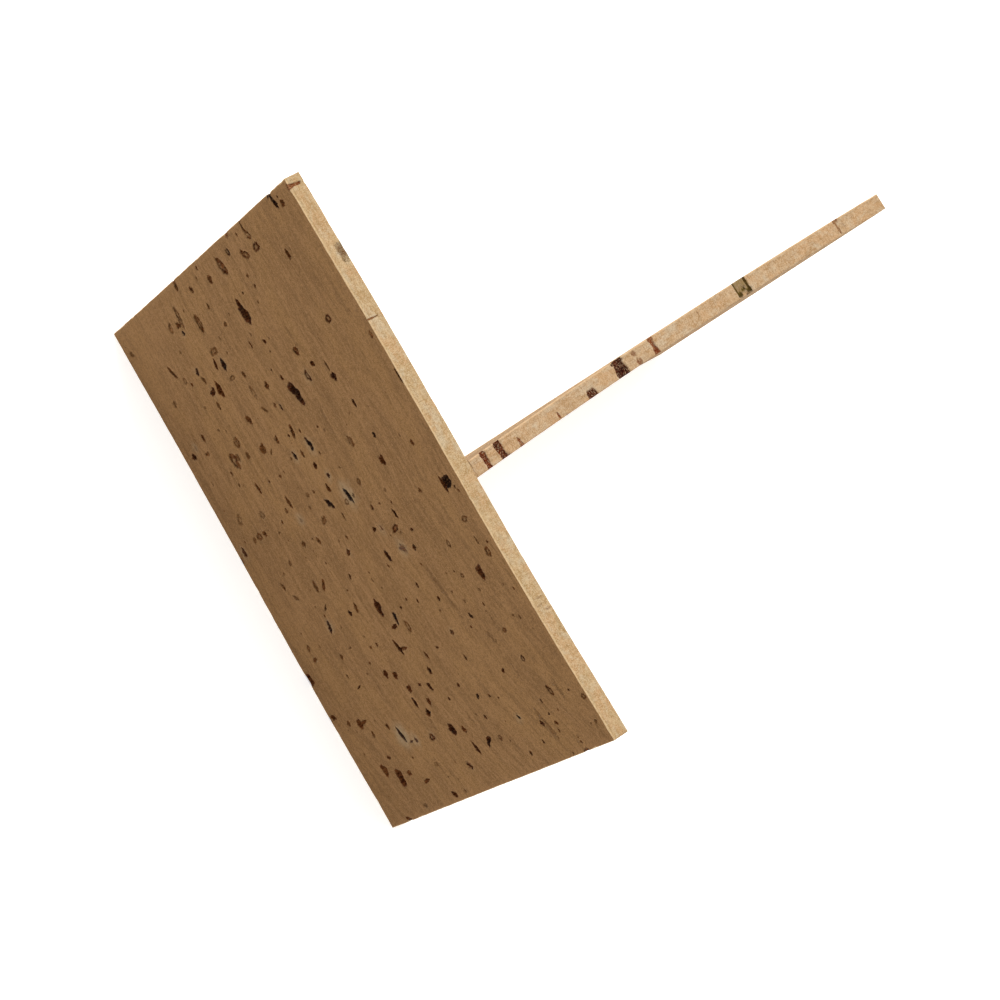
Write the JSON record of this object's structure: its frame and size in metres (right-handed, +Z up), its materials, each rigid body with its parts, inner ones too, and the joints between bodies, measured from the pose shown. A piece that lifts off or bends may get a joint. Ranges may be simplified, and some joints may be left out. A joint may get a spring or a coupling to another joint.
{
  "type": "cork sanding block",
  "caption": "T-shaped sanding block of natural cork: a flat rectangular sole plate with a matching cork sheet glued edge-on to its back as a finger handle.",
  "frame": {"origin": "on the floor under the middle of the whole block, standing on the long edges of its two sheets", "axes": "+X along the sole plate's length, +Y from the sanding face out to the free end of the handle web, +Z up across the width of both sheets"},
  "size_m": [0.1, 0.1032, 0.076],
  "materials": {
    "cork_plate": "matte",
    "cork_web": "matte",
    "cured_glue": "satin"
  },
  "bodies": {
    "root": {"sole_plate": "cork_plate", "handle_web": "cork_web", "glue_film": "cured_glue"}
  },
  "joints": []
}
